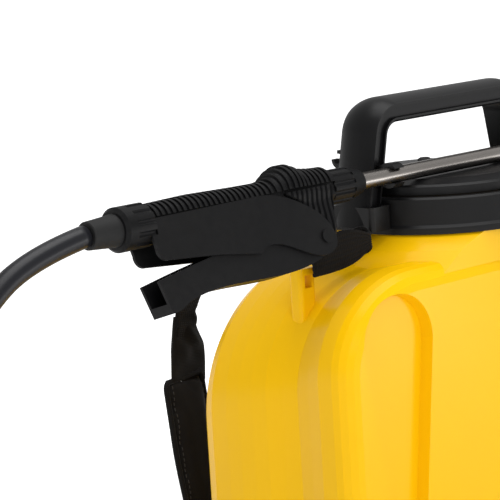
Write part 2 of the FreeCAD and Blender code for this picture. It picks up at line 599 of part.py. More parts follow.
def nozzle_parts():
    x = WAND_X1
    elbow_path = [V(x - 14, 0, 0), V(x + 12, 0, 0), V(x + 12 + 22, 0, -16)]
    pieces = [rod(8.5, 22, (x - 14, 0, 0), X_AXIS)]
    direction = (elbow_path[2] - elbow_path[1]).normalize()
    pieces.append(Part.makeSphere(7.4, elbow_path[1] - V(4, 0, 0)))
    pieces.append(Part.makeCylinder(7.0, 20, elbow_path[1] - V(4, 0, 0), direction))
    elbow = fuse(pieces).cut(rod(WAND_R + 0.05, 14, (x - 14, 0, 0), X_AXIS))
    tip = elbow_path[1] - V(4, 0, 0) + direction * 20
    cap = spun([(3.2, 0.2), (9.5, 0.2), (9.5, 9), (7.5, 12), (3.2, 12)])
    cap = cap.cut([rod(1.2, 8, (10 * math.cos(a), 10 * math.sin(a), 0)) for a in
                   [math.radians(36 * k) for k in range(10)]])
    insert = spun([(0, 0.2), (3.1, 0.2), (3.1, 11), (2.4, 12.6), (0, 12.6)])
    turn = FreeCAD.Rotation(Z_AXIS, direction)
    for piece in (cap, insert):
        piece.Placement = FreeCAD.Placement(tip, turn)
    return elbow, cap, insert, tip, direction


# ---- straps ----------------------------------------------------------------
def band(points, width, thickness, across):
    """Flat webbing: a plate bent through straight runs, width laid along 'across'."""
    pts = [V(*p) for p in points]
    pieces = []
    across = V(*across).normalize()
    for a, b in zip(pts, pts[1:]):
        run = b - a
        up = run.cross(across).normalize() * (thickness / 2)
        wide = across * (width / 2)
        corners = [a + wide + up, a - wide + up, a - wide - up, a + wide - up]
        face = Part.Face(Part.makePolygon(corners + [corners[0]]))
        pieces.append(face.extrude(run))
    for p in pts[1:-1]:
        pieces.append(Part.makeCylinder(thickness / 2, width, p - across * (width / 2), across))
    return fuse(pieces)


def shoulder_strap(side):
    """Webbing from the top of the tank, the padded part, and webbing down to the base."""
    run_in = [(93, 96, 398), (106, 116, 394), (128, 132, 374), (139, 136, 358), (145, 136, 324)]
    pad = [(143, 131, 317), (144, 126, 296), (146, 121, 240), (146, 112, 180)]
    run_out = [(146, 110, 173), (150, 104, 118), (150, 96, 64)]
    upper = band([(side * x, y, z) for x, y, z in run_in], 26, 3, (0.9, -side * 0.3, 0.1))
    cushion = band([(side * x, y, z) for x, y, z in pad], 48, 12, (1, -side * 0.2, 0))
    lower = band([(side * x, y, z) for x, y, z in run_out], 26, 2.4, (1, -side * 0.2, 0))
    return upper, cushion, lower


def strap_loop(side):
    """Webbing end folded back on itself beside the collar."""
    fold = [(164, -25.6, 409), (110, -25.6, 414), (107, -20, 415), (110, -14.5, 414), (146, -11, 408)]
    return band([(side * x, y, z) for x, y, z in fold], 20, 2.6, (0, 0, 1))


def strap_buckle(side):
    """Frame that the lower webbing runs through."""
    frame = box(-18, 18, -5, 5, 139, 152).cut(box(-14.5, 14.5, -2.6, 2.6, 130, 160))
    frame.rotate(V(0, 0, 145.5), X_AXIS, 6.0)
    frame.rotate(V(0, 0, 0), Z_AXIS, -side * 11.3)
    return moved(frame, side * 148, 107, 0)


def back_frame():
    pad = slab(-120, 120, -150, 150, 0, 14, 40)
    pad.rotate(V(0, 0, 0), X_AXIS, 90)
    return moved(pad, 0, 84.8 + 14, 225)


# ---- write every piece -----------------------------------------------------
def main():
    put("tank", tank())
    put("handle_collar", handle_collar())
    put("lid", lid())
    put("lid_vent_valve", lid_vent())
    put("filler_strainer", strainer())
    put("lid_gasket", lid_gasket())
    put("base", base())
    put("base_feet", group(feet()))
    put("shaft_bushes", group(shaft_bushes()))
    put("pump_chamber", pump_chamber())
    put("pump_nut", pump_nut())
    rod_part, pin, piston, cup = piston_parts()
    put("piston_rod", rod_part)
    put("piston_pin", pin)
    put("piston", piston)
    put("piston_cup_seal", cup)
    put("pump_crank", crank())
    put("pump_shaft", rod(SHAFT_R, LEVER_X + 12 + 112, (-106, SHAFT_Y, SHAFT_Z), X_AXIS))
    put("lever_arm", lever_arm())
    put("lever_nut", lever_nut())
    put("lever_grip", lever_grip())
    near, far = side_plates()
    put("grip_body", on_gun(grip_body()))
    put("grip_plate_near", on_gun(near))
    put("grip_plate_far", on_gun(far))
    body, stem, spring, pin = valve_parts()
    put("valve_body", on_gun(body))
    put("valve_stem", on_gun(stem))
    put("valve_spring", on_gun(spring))
    put("trigger_pin", on_gun(pin))
    elbow, washer, nut = outlet_parts()
    put("outlet_fitting", elbow)
    put("outlet_washer", washer)
    put("outlet_nut", nut)
    put("trigger", on_gun(trigger_lever()))
    elbow, cap, insert, tip, direction = nozzle_parts()
    put("nozzle_elbow", on_gun(elbow))
    put("nozzle_cap", on_gun(cap))
    put("nozzle_insert", on_gun(insert))
    put("hose_nut", on_gun(ribbed_nut(-354, 25.4, 15.0, 8.4, -1, 12)))
    put("hose_sleeve", on_gun(hose_sleeve()))
    put("wand_nut", on_gun(ribbed_nut(-154.6, 34.6, 12.5, WAND_R + 0.05, 1, 12)))
    put("wand", on_gun(tube(WAND_R, WAND_BORE_R, WAND_X1 - WAND_X0, (WAND_X0, 0, 0), X_AXIS)))
    for name, side in (("left", -1), ("right", 1)):
        upper, cushion, lower = shoulder_strap(side)
        put("strap_upper_" + name, upper)
        put("shoulder_pad_" + name, cushion)
        put("strap_lower_" + name, lower)
        put("strap_loop_" + name, strap_loop(side))
        put("strap_buckle_" + name, strap_buckle(side))
    put("back_pad", back_frame())
    put("hose", route_tube(HOSE_ROUTE, HOSE_R, "hose"))


main()
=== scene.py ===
import bpy
import bmesh
import json
import math
from mathutils import Matrix, Vector
from mathutils.bvhtree import BVHTree


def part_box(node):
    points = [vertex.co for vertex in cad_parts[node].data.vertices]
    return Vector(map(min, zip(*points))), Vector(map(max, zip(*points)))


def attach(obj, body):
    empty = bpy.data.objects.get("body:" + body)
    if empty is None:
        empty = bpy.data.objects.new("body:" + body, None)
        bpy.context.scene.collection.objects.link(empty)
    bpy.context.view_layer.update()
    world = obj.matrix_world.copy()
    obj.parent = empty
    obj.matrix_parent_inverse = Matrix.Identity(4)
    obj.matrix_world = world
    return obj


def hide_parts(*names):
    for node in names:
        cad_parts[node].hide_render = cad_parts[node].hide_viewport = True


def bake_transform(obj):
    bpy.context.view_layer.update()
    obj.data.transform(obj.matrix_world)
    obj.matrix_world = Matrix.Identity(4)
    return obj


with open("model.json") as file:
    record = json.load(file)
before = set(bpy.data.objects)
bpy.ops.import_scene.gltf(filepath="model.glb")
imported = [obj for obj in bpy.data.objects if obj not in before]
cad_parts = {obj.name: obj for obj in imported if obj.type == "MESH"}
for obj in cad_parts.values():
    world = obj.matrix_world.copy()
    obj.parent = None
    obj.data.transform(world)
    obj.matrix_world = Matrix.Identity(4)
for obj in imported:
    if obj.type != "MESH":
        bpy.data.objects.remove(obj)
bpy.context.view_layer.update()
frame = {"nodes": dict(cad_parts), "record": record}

# ---- places taken from the frame, metres ------------------------------------
COLLAR_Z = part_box("handle_collar")[0][2]

# The hose's route, the same control points as the CAD tube's.
HOSE_ROUTE = [
    (-0.3786, -0.026, 0.459), (-0.426, -0.027, 0.452), (-0.472, -0.032, 0.428), (-0.513, -0.038, 0.380),
    (-0.538, -0.040, 0.312), (-0.548, -0.034, 0.228), (-0.549, -0.008, 0.142), (-0.546, 0.040, 0.072),
    (-0.536, 0.100, 0.026), (-0.512, 0.166, 0.010), (-0.464, 0.218, 0.009), (-0.400, 0.235, 0.009),
    (-0.339, 0.208, 0.009), (-0.307, 0.150, 0.009), (-0.300, 0.104, 0.013), (-0.268, 0.052, 0.023),
    (-0.2078, 0.032, 0.032),
]
HOSE_DIAMETER = 0.015


# ---- shader helpers -----------------------------------------------------------
def srgb(red, green, blue):
    """Linear colour of a screen colour given as 0..255."""
    def linear(channel):
        c = channel / 255.0
        return c / 12.92 if c <= 0.04045 else ((c + 0.055) / 1.055) ** 2.4
    return (linear(red), linear(green), linear(blue), 1.0)


def effect_group(name, inputs, outputs, build):
    """One reusable effect: a shader node group with named sockets, filled in by build."""
    tree = bpy.data.node_groups.new(name, "ShaderNodeTree")
    for label, kind, value in inputs:
        socket = tree.interface.new_socket(label, in_out="INPUT", socket_type=kind)
        if value is not None:
            socket.default_value = value
    for label, kind in outputs:
        tree.interface.new_socket(label, in_out="OUTPUT", socket_type=kind)
    build(tree, tree.nodes.new("NodeGroupInput"), tree.nodes.new("NodeGroupOutput"))
    return tree


def add_noise(tree, scale_from, detail, roughness=0.55):
    coords = tree.nodes.new("ShaderNodeTexCoord")
    noise = tree.nodes.new("ShaderNodeTexNoise")
    noise.inputs["Detail"].default_value = detail
    noise.inputs["Roughness"].default_value = roughness
    tree.links.new(coords.outputs["Object"], noise.inputs["Vector"])
    if isinstance(scale_from, (int, float)):
        noise.inputs["Scale"].default_value = scale_from
    else:
        tree.links.new(scale_from, noise.inputs["Scale"])
    return noise


def spread(tree, factor, low, high):
    """Maps a 0..1 value to the range low..high; low and high are sockets or numbers."""
    node = tree.nodes.new("ShaderNodeMapRange")
    tree.links.new(factor, node.inputs["Value"])
    for socket, value in (("To Min", low), ("To Max", high)):
        if isinstance(value, (int, float)):
            node.inputs[socket].default_value = value
        else:
            tree.links.new(value, node.inputs[socket])
    return node.outputs["Result"]


def tint(tree, factor, first, second):
    """Mixes two colours by a factor."""
    mix = tree.nodes.new("ShaderNodeMix")
    mix.data_type = "RGBA"
    tree.links.new(factor, mix.inputs["Factor"])
    tree.links.new(first, mix.inputs["A"])
    tree.links.new(second, mix.inputs["B"])
    return mix.outputs["Result"]


def build_grain(tree, source, out):
    """Moulded grain: fine pimples for the surface and slow drifts in gloss and shade."""
    fine = add_noise(tree, source.outputs["Grain Scale"], 3.0)
    slow = add_noise(tree, 9.0, 2.0)
    gloss = spread(tree, slow.outputs["Fac"], source.outputs["Rough Low"], source.outputs["Rough High"])
    shade = tint(tree, slow.outputs["Fac"], source.outputs["Color"], source.outputs["Drift"])
    tree.links.new(fine.outputs["Fac"], out.inputs["Height"])
    tree.links.new(gloss, out.inputs["Roughness"])
    tree.links.new(shade, out.inputs["Color"])


GRAIN = effect_group(
    "moulded_grain",
    [("Color", "NodeSocketColor", None), ("Drift", "NodeSocketColor", None),
     ("Grain Scale", "NodeSocketFloat", 900.0), ("Rough Low", "NodeSocketFloat", 0.35),
     ("Rough High", "NodeSocketFloat", 0.5)],
    [("Color", "NodeSocketColor"), ("Roughness", "NodeSocketFloat"), ("Height", "NodeSocketFloat")],
    build_grain)


def build_wear(tree, source, out):
    """Edge wear: raised edges rub paler, broken up by a noise."""
    geometry = tree.nodes.new("ShaderNodeNewGeometry")
    ramp = tree.nodes.new("ShaderNodeMapRange")
    ramp.inputs["From Min"].default_value = 0.53
    ramp.inputs["From Max"].default_value = 0.62
    tree.links.new(geometry.outputs["Pointiness"], ramp.inputs["Value"])
    patches = add_noise(tree, 160.0, 3.0)
    broken = tree.nodes.new("ShaderNodeMath")
    broken.operation = "MULTIPLY"
    tree.links.new(ramp.outputs["Result"], broken.inputs[0])
    tree.links.new(patches.outputs["Fac"], broken.inputs[1])
    strength = tree.nodes.new("ShaderNodeMath")
    strength.operation = "MULTIPLY"
    tree.links.new(broken.outputs[0], strength.inputs[0])
    tree.links.new(source.outputs["Amount"], strength.inputs[1])
    tree.links.new(tint(tree, strength.outputs[0], source.outputs["Color"], source.outputs["Worn"]),
                   out.inputs["Color"])


WEAR = effect_group(
    "edge_wear",
    [("Color", "NodeSocketColor", None), ("Worn", "NodeSocketColor", None), ("Amount", "NodeSocketFloat", 0.5)],
    [("Color", "NodeSocketColor")],
    build_wear)


def build_weave(tree, source, out):
    """Plain weave read from the strap's own length and width coordinates, in metres."""
    coords = tree.nodes.new("ShaderNodeUVMap")
    coords.uv_map = "cloth"
    split = tree.nodes.new("ShaderNodeSeparateXYZ")
    tree.links.new(coords.outputs["UV"], split.inputs[0])
    waves = []
    for axis, pitch in (("X", "Weft Pitch"), ("Y", "Warp Pitch")):
        turn = tree.nodes.new("ShaderNodeMath")
        turn.operation = "DIVIDE"
        tree.links.new(split.outputs[axis], turn.inputs[0])
        tree.links.new(source.outputs[pitch], turn.inputs[1])
        wave = tree.nodes.new("ShaderNodeMath")
        wave.operation = "PINGPONG"
        wave.inputs[1].default_value = 0.5
        tree.links.new(turn.outputs[0], wave.inputs[0])
        waves.append(wave.outputs[0])
    lift = tree.nodes.new("ShaderNodeMath")
    lift.operation = "ADD"
    tree.links.new(waves[0], lift.inputs[0])
    tree.links.new(waves[1], lift.inputs[1])
    fuzz = add_noise(tree, 700.0, 4.0)
    worn = add_noise(tree, 30.0, 3.0)
    blend = tree.nodes.new("ShaderNodeMath")
    blend.operation = "MULTIPLY_ADD"
    tree.links.new(fuzz.outputs["Fac"], blend.inputs[0])
    blend.inputs[1].default_value = 0.35
    tree.links.new(lift.outputs[0], blend.inputs[2])
    shade = tint(tree, worn.outputs["Fac"], source.outputs["Color"], source.outputs["Dust"])
    tree.links.new(blend.outputs[0], out.inputs["Height"])
    tree.links.new(shade, out.inputs["Color"])


WEAVE = effect_group(
    "plain_weave",
    [("Color", "NodeSocketColor", None), ("Dust", "NodeSocketColor", None),
     ("Weft Pitch", "NodeSocketFloat", 0.0016), ("Warp Pitch", "NodeSocketFloat", 0.0022)],
    [("Color", "NodeSocketColor"), ("Height", "NodeSocketFloat")],
    build_weave)


def new_material(name):
    """An empty node material, with its node tree and its Principled shader."""
    material = bpy.data.materials.new(name)
    material.use_nodes = True
    tree = material.node_tree
    shader = tree.nodes["Principled BSDF"]
    return material, tree, shader


def place(tree, group, **values):
    """Puts a shared effect into a material; Grain_Scale=... sets its socket "Grain Scale"."""
    node = tree.nodes.new("ShaderNodeGroup")
    node.node_tree = group
    for label, value in values.items():
        node.inputs[label.replace("_", " ")].default_value = value
    return node


def bump(tree, height, shader, strength, distance):
    """Feeds a height into the shader's normal."""
    node = tree.nodes.new("ShaderNodeBump")
    node.inputs["Strength"].default_value = strength
    node.inputs["Distance"].default_value = distance
    tree.links.new(height, node.inputs["Height"])
    tree.links.new(node.outputs["Normal"], shader.inputs["Normal"])


def moulded_plastic(name, color, drift, worn, rough, grain_scale=900.0, grain=0.12, wear=0.4, shine=0.5):
    """Injection or blow-moulded plastic with grain, slow gloss drift and rubbed edges."""
    material, tree, shader = new_material(name)
    grained = place(tree, GRAIN, Color=color, Drift=drift, Grain_Scale=grain_scale,
                    Rough_Low=rough[0], Rough_High=rough[1])
    rubbed = place(tree, WEAR, Worn=worn, Amount=wear)
    tree.links.new(grained.outputs["Color"], rubbed.inputs["Color"])
    tree.links.new(rubbed.outputs["Color"], shader.inputs["Base Color"])
    tree.links.new(grained.outputs["Roughness"], shader.inputs["Roughness"])
    bump(tree, grained.outputs["Height"], shader, grain, 0.0004)
    shader.inputs["Specular IOR Level"].default_value = shine
    return material


def metal(name, color, drift, rough):
    """Plated or turned metal with a fine grain and slow changes of gloss."""
    material, tree, shader = new_material(name)
    grained = place(tree, GRAIN, Color=color, Drift=drift, Grain_Scale=400.0,
                    Rough_Low=rough[0], Rough_High=rough[1])
    tree.links.new(grained.outputs["Color"], shader.inputs["Base Color"])
    tree.links.new(grained.outputs["Roughness"], shader.inputs["Roughness"])
    bump(tree, grained.outputs["Height"], shader, 0.06, 0.0002)
    shader.inputs["Metallic"].default_value = 1.0
    return material


def drawn_steel(name):
    """Stainless tube with fine lengthwise drawing lines."""
    material, tree, shader = new_material(name)
    coords = tree.nodes.new("ShaderNodeTexCoord")
    stretch = tree.nodes.new("ShaderNodeMapping")
    stretch.inputs["Scale"].default_value = (6.0, 900.0, 900.0)
    lines = tree.nodes.new("ShaderNodeTexNoise")
    lines.inputs["Scale"].default_value = 1.0
    lines.inputs["Detail"].default_value = 4.0
    tree.links.new(coords.outputs["Object"], stretch.inputs["Vector"])
    tree.links.new(stretch.outputs["Vector"], lines.inputs["Vector"])
    grained = place(tree, GRAIN, Color=srgb(168, 163, 158), Drift=srgb(140, 135, 131), Grain_Scale=300.0,
                    Rough_Low=0.24, Rough_High=0.32)
    tree.links.new(grained.outputs["Color"], shader.inputs["Base Color"])
    tree.links.new(spread(tree, lines.outputs["Fac"], 0.2, 0.36), shader.inputs["Roughness"])
    bump(tree, lines.outputs["Fac"], shader, 0.08, 0.0001)
    shader.inputs["Metallic"].default_value = 1.0
    return material


def cloth(name, color, dust, weft, warp):
    """Woven cloth with dust in patches; weft and warp are the thread pitches in metres."""
    material, tree, shader = new_material(name)
    woven = place(tree, WEAVE, Color=color, Dust=dust, Weft_Pitch=weft, Warp_Pitch=warp)
    tree.links.new(woven.outputs["Color"], shader.inputs["Base Color"])
    bump(tree, woven.outputs["Height"], shader, 0.6, 0.0005)
    shader.inputs["Roughness"].default_value = 0.85
    shader.inputs["Sheen Weight"].default_value = 0.04
    shader.inputs["Specular IOR Level"].default_value = 0.12
    shader.inputs["Sheen Roughness"].default_value = 0.5
    return material


BLACK, SOOT, RUBBED = srgb(12, 12, 13), srgb(17, 17, 18), srgb(52, 51, 50)

MATERIALS = {
    "tank_yellow": moulded_plastic("tank_yellow_polythene", srgb(244, 190, 8), srgb(239, 184, 6),
                                   srgb(248, 200, 22), (0.20, 0.27), 500.0, 0.04, 0.2, 0.10),
    "black_moulding": moulded_plastic("black_glass_filled_plastic", BLACK, SOOT, RUBBED, (0.30, 0.42),
                                      1100.0, 0.10, 0.25, 0.18),
    "gun_plastic": moulded_plastic("gun_black_plastic", srgb(13, 13, 14), srgb(18, 18, 19), RUBBED,
                                   (0.40, 0.50), 1500.0, 0.16, 0.22, 0.11),
    "inner_plastic": moulded_plastic("natural_white_polypropylene", srgb(214, 212, 202), srgb(202, 199, 188),
                                     srgb(226, 224, 216), (0.35, 0.5)),
    "brushed_steel": drawn_steel("drawn_stainless"),
    "zinc_steel": metal("zinc_plated_steel", srgb(176, 174, 164), srgb(150, 150, 146), (0.3, 0.48)),
    "brass": metal("turned_brass", srgb(202, 164, 88), srgb(180, 142, 72), (0.22, 0.4)),
    "seal_rubber": moulded_plastic("seal_rubber", srgb(18, 18, 18), srgb(24, 24, 24), srgb(50, 50, 50),
                                   (0.6, 0.75), 1300.0, 0.12, 0.2, 0.3),
    "hose_rubber": moulded_plastic("hose_rubber", srgb(26, 27, 31), srgb(20, 20, 24), srgb(56, 56, 62),
                                   (0.28, 0.40), 1600.0, 0.10, 0.1, 0.26),
    "grip_rubber": moulded_plastic("lever_grip_rubber", srgb(20, 20, 20), srgb(26, 26, 26), srgb(56, 56, 56),
                                   (0.6, 0.75), 1400.0, 0.2, 0.3, 0.3),
    "strap_webbing": cloth("strap_webbing", srgb(12, 11, 11), srgb(22, 20, 19), 0.0016, 0.0030),
    "thread": cloth("sewing_thread", srgb(46, 44, 42), srgb(60, 57, 54), 0.0008, 0.0008),
    "pad_fabric": cloth("pad_fabric", srgb(14, 12, 11), srgb(24, 22, 20), 0.0011, 0.0011),
}
SLOT_OF = {entry["node"]: entry["material_slot"] for entry in frame["record"]["subparts"]}


def dress_cad_nodes():
    """Gives every CAD node the detailed material of its slot."""
    for node, piece in frame["nodes"].items():
        material = MATERIALS[SLOT_OF[node]]
        for slot in piece.material_slots:
            slot.material = material


# ---- mesh helpers ----------------------------------------------------------------
def make_object(name, mesh, slot):
    """A new piece in the scene, with the material of the record slot of its kind."""
    piece = bpy.data.objects.new(name, mesh)
    bpy.context.collection.objects.link(piece)
    mesh.materials.append(MATERIALS[slot])
    return piece


def smooth_points(route, steps=12):
    """Points along the smooth line that has the route as its control points."""
    curve = bpy.data.curves.new("line", "CURVE")
    curve.dimensions = "3D"
    spline = curve.splines.new("NURBS")
    spline.points.add(len(route) - 1)
    for point, place_at in zip(spline.points, route):
        point.co = (*place_at, 1.0)
    spline.order_u = 3
    spline.use_endpoint_u = True
    spline.resolution_u = steps
    holder = bpy.data.objects.new("line", curve)
    mesh = bpy.data.meshes.new_from_object(holder)
    points = [vertex.co.copy() for vertex in mesh.vertices]
    bpy.data.meshes.remove(mesh)
    bpy.data.objects.remove(holder)
    bpy.data.curves.remove(curve)
    return points


def swept_band(name, points, across, profile, slot, closed=False):
    """Sweeps a flat closed profile along points; profile(t) gives (sideways, thick) pairs in metres."""
    mesh = bpy.data.meshes.new(name)
    bm = bmesh.new()
    uv = bm.loops.layers.uv.new("cloth")
    rings, run, spans = [], 0.0, []
    count = len(points)
    for i, here in enumerate(points):
        before = points[i - 1] if (i or closed) else points[0]
        after = points[(i + 1) % count] if (i < count - 1 or closed) else points[-1]
        forward = (after - before).normalized()
        t = i / (count - 1)
        side = across(t)
        side = (side - forward * side.dot(forward)).normalized()
        up = side.cross(forward)
        if i:
            run += (here - points[i - 1]).length
        ring = [(bm.verts.new(here + side * s + up * h), s) for s, h in profile(t)]
        rings.append((ring, run))
    pairs = list(zip(rings, rings[1:]))
    if closed:
        gap = (points[0] - points[-1]).length
        pairs.append((rings[-1], (rings[0][0], rings[-1][1] + gap)))
    size = len(rings[0][0])
    for (ring_a, run_a), (ring_b, run_b) in pairs:
        for k in range(size):
            j = (k + 1) % size
            face = bm.faces.new((ring_a[k][0], ring_a[j][0], ring_b[j][0], ring_b[k][0]))
            face.smooth = True
            wanted = ((run_a, ring_a[k][1]), (run_a, ring_a[j][1]),
                      (run_b, ring_b[j][1]), (run_b, ring_b[k][1]))
            for loop, spot in zip(face.loops, wanted):
                loop[uv].uv = spot
    if not closed:
        for ring, _ in (rings[0], rings[-1]):
            face = bm.faces.new([vert for vert, _ in ring])
            for loop, (_, s) in zip(face.loops, ring):
                loop[uv].uv = (0.0, s)
    bmesh.ops.recalc_face_normals(bm, faces=bm.faces[:])
    bm.to_mesh(mesh)
    bm.free()
    return make_object(name, mesh, slot)


def round_section(radius, sides=8):
    """Section of a cord: sideways and thick offsets round a circle."""
    return [(radius * math.cos(2 * math.pi * k / sides), radius * math.sin(2 * math.pi * k / sides))
            for k in range(sides)]


def flat_profile(width, thickness, rows=10):
    """Webbing section: flat faces with slightly fuller selvedges and thin outer edges."""
    half, thick = width / 2, thickness / 2
    top = []
    for k in range(rows + 1):
        s = half * (2 * k / rows - 1)
        selvedge = 1.18 if abs(s) > half * 0.75 else 1.0
        rim = 0.55 if abs(s) > half * 0.99 else 1.0
        top.append((s, thick * selvedge * rim))
    return top + [(s, -h) for s, h in reversed(top)]


# ---- hose --------------------------------------------------------------------------
def hose():
    """Rubber hose from the gun down to the floor and round to the outlet."""
    points = smooth_points(HOSE_ROUTE, 16)
    ring = round_section(HOSE_DIAMETER / 2, 20)
    piece = swept_band("hose_line", points, lambda t: Vector((0.0, 1.0, 0.0)), lambda t: ring, "hose_rubber")
    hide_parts("hose")
    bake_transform(piece)


# ---- rubber nose of the grip ---------------------------------------------------------
GUN_AXIS, GUN_ROLL = Vector((0.0, -0.026, 0.459)), math.radians(17.0)
GUN_TURN = Matrix.Rotation(-GUN_ROLL, 3, "X")
RIB_START, RIB_PITCH, NOSE_RIBS = -0.324, 0.00485, 14
NOSE_TOP, NOSE_HALF_WIDTH, NOSE_SWELL, RIB_LIFT = 0.0008, 0.0101, 0.0026, 0.0013
SWELL_HEIGHT = 0.011        # the nose widens to meet the grip over this height
NOSE_UNDERSIDE = [          # place along the gun, depth below its axis
    (-0.2050, -0.0006), (-0.1990, -0.0040), (-0.1910, -0.0084), (-0.1820, -0.0155), (-0.1735, -0.0220),
    (-0.1700, -0.0255), (-0.1690, -0.0270), (-0.1678, -0.0330), (-0.1660, -0.0350), (-0.1640, -0.0350),
    (-0.1625, -0.0330), (-0.1612, -0.0260), (-0.1602, -0.0150), (-0.1592, -0.0040),
]


def on_gun(x, y, z):
    """A point given along, across and above the gun's own axis."""
    return GUN_AXIS + GUN_TURN @ Vector((0.0, y, z)) + Vector((x, 0.0, 0.0))


def table_value(table, place_at):
    """Value read between the rows of a table, held level past its ends."""
    for (x0, v0), (x1, v1) in zip(table, table[1:]):
        if x0 <= place_at <= x1:
            return v0 + (v1 - v0) * (place_at - x0) / (x1 - x0)
    return table[0][1] if place_at < table[0][0] else table[-1][1]


def grip_nose():
    """Ribbed rubber nose under the swell of the grip, filling in behind the side plates."""
    stations, start, stop = [], NOSE_UNDERSIDE[0][0], NOSE_UNDERSIDE[-1][0]
    first = int((start - RIB_START) / RIB_PITCH)
    for k in range(first, first + NOSE_RIBS):
        middle = RIB_START + k * RIB_PITCH
        for offset, lift in ((-0.0019, 0.0), (-0.0012, RIB_LIFT), (0.0012, RIB_LIFT), (0.0019, 0.0)):
            if start < middle + offset < stop:
                stations.append((middle + offset, lift))
    mesh = bpy.data.meshes.new("grip_nose")
    bm = bmesh.new()
    rings = []
    for x, lift in stations:
        low = table_value(NOSE_UNDERSIDE, x)
        side = []
        for k in range(9):
            z = NOSE_TOP + (low - NOSE_TOP) * k / 8
            ease = max(0.0, min(1.0, (z + SWELL_HEIGHT) / SWELL_HEIGHT))
            width = NOSE_HALF_WIDTH + NOSE_SWELL * ease * ease * (3 - 2 * ease) + lift
            turn_in = 0.0030 * max(0.0, (k - 6) / 2) ** 2
            side.append((width - turn_in, z))
        ring = side + [(-y, z) for y, z in reversed(side)]
        rings.append([bm.verts.new(on_gun(x, y, z)) for y, z in ring])
    count = len(rings[0])
    for ring_a, ring_b in zip(rings, rings[1:]):
        for k in range(count):
            face = bm.faces.new((ring_a[k], ring_a[k - count + 1], ring_b[k - count + 1], ring_b[k]))
            face.smooth = False
    bm.faces.new(rings[0][::-1])
    bm.faces.new(rings[-1])
    bmesh.ops.recalc_face_normals(bm, faces=bm.faces[:])
    bm.to_mesh(mesh)
    bm.free()
    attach(make_object("grip_nose", mesh, "gun_plastic"), "lance")


# ---- webbing, pads and stitching ---------------------------------------------------
def crossing(side):
    """Sideways direction of the shoulder straps: across the tank, turned in towards the neck."""
    return lambda t: Vector((1.0, -side * 0.3, 0.0))


def pleated(points, across, start, stop, waves, height):
    """Lifts part of a strap's line into soft cross pleats."""
    lifted = []
    for i, point in enumerate(points):
        t = i / (len(points) - 1)
        forward = (points[min(i + 1, len(points) - 1)] - points[max(i - 1, 0)]).normalized()
        out = across(t).cross(forward).normalized()
        inside = max(0.0, min(1.0, (t - start) / (stop - start)))
        fade = math.sin(math.pi * inside)
        lifted.append(point + out * (height * fade * math.sin(2 * math.pi * waves * inside)))
    return lifted


def webbing(name, points, across, width, thickness, node=None):
    """Flat woven strap along points, in place of a CAD node when one is named."""
    profile = flat_profile(width, thickness)
    piece = swept_band(name, points, across, lambda t: profile, "strap_webbing")
    if node:
        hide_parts(node)
    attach(piece, "root")


SWELL_PRESSURE, SWELL_FRAMES = 4.0, 20


def swollen(piece, cap, voxel):
    """Fills a stitched shape: cloth under pressure, no point moving further than cap."""
    remesh = piece.modifiers.new("remesh", "REMESH")
    remesh.mode = "VOXEL"
    remesh.voxel_size = voxel
    bake(piece)
    rest = [vertex.co.copy() for vertex in piece.data.vertices]
    inflate = piece.modifiers.new("inflate", "CLOTH")
    inflate.settings.use_pressure = True
    inflate.settings.uniform_pressure_force = SWELL_PRESSURE
    inflate.settings.effector_weights.gravity = 0.0
    scene = bpy.context.scene
    for number in range(1, SWELL_FRAMES + 1):
        scene.frame_set(number)
    bake(piece)
    scene.frame_set(1)
    for vertex, start in zip(piece.data.vertices, rest):
        shift = vertex.co - start
        if shift.length > cap:
            vertex.co = start + shift.normalized() * cap
    rounder = piece.modifiers.new("rounder", "SUBSURF")
    rounder.levels = 1
    bake(piece)
    for face in piece.data.polygons:
        face.use_smooth = True


def bake(piece):
    """Applies every modifier to the piece's own mesh."""
    graph = bpy.context.evaluated_depsgraph_get()
    mesh = bpy.data.meshes.new_from_object(piece.evaluated_get(graph), depsgraph=graph)
    old = piece.data
    piece.modifiers.clear()
    piece.data = mesh
    bpy.data.meshes.remove(old)


def surface_of(piece):
    """The piece's surface, ready to be looked up along a ray."""
    bpy.context.view_layer.update()
    return BVHTree.FromObject(piece, bpy.context.evaluated_depsgraph_get())


def stitches(name, piece, line, inward, pitch=0.0042, length=0.0028, radius=0.00045):
    """A row of thread stitches laid on the piece along a line, found by looking inward."""
    tree = surface_of(piece)
    mesh = bpy.data.meshes.new(name)
    bm = bmesh.new()
    run, due = 0.0, 0.0
    for here, after in zip(line, line[1:]):
        step = (after - here).length
        along = (after - here).normalized()
        while due <= run + step:
            spot = here + along * (due - run)
            due += pitch
            found, normal, _, _ = tree.ray_cast(spot - inward * 0.03, inward, 0.06)
            if found is None:
                continue
            lay = (along - normal * along.dot(normal)).normalized()
            side = lay.cross(normal)
            rings = []
            for place_on, swell in ((-0.5, 0.3), (-0.3, 1.0), (0.3, 1.0), (0.5, 0.3)):
                centre = found + lay * (length * place_on) + normal * (radius * (0.9 * swell - 0.3))
                rings.append([
                    bm.verts.new(centre + (side * math.cos(a) + normal * math.sin(a)) * radius * swell)
                    for a in [math.pi * k / 3 for k in range(6)]])
            for ring_a, ring_b in zip(rings, rings[1:]):
                for k in range(6):
                    bm.faces.new((ring_a[k], ring_a[k - 5], ring_b[k - 5], ring_b[k])).smooth = True
            bm.faces.new(rings[0][::-1])
            bm.faces.new(rings[-1])
        run += step
    bm.to_mesh(mesh)
    bm.free()
    row = make_object(name, mesh, "thread")
    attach(row, "root")


def binding(name, loop_points, radius=0.0022):
    """Sewn edge binding: a closed cord along the rim of a pad."""
    ring = round_section(radius)
    piece = swept_band(name, loop_points, lambda t: Vector((0.1, 1.0, 0.13)), lambda t: ring,
                       "strap_webbing", True)
    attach(piece, "root")


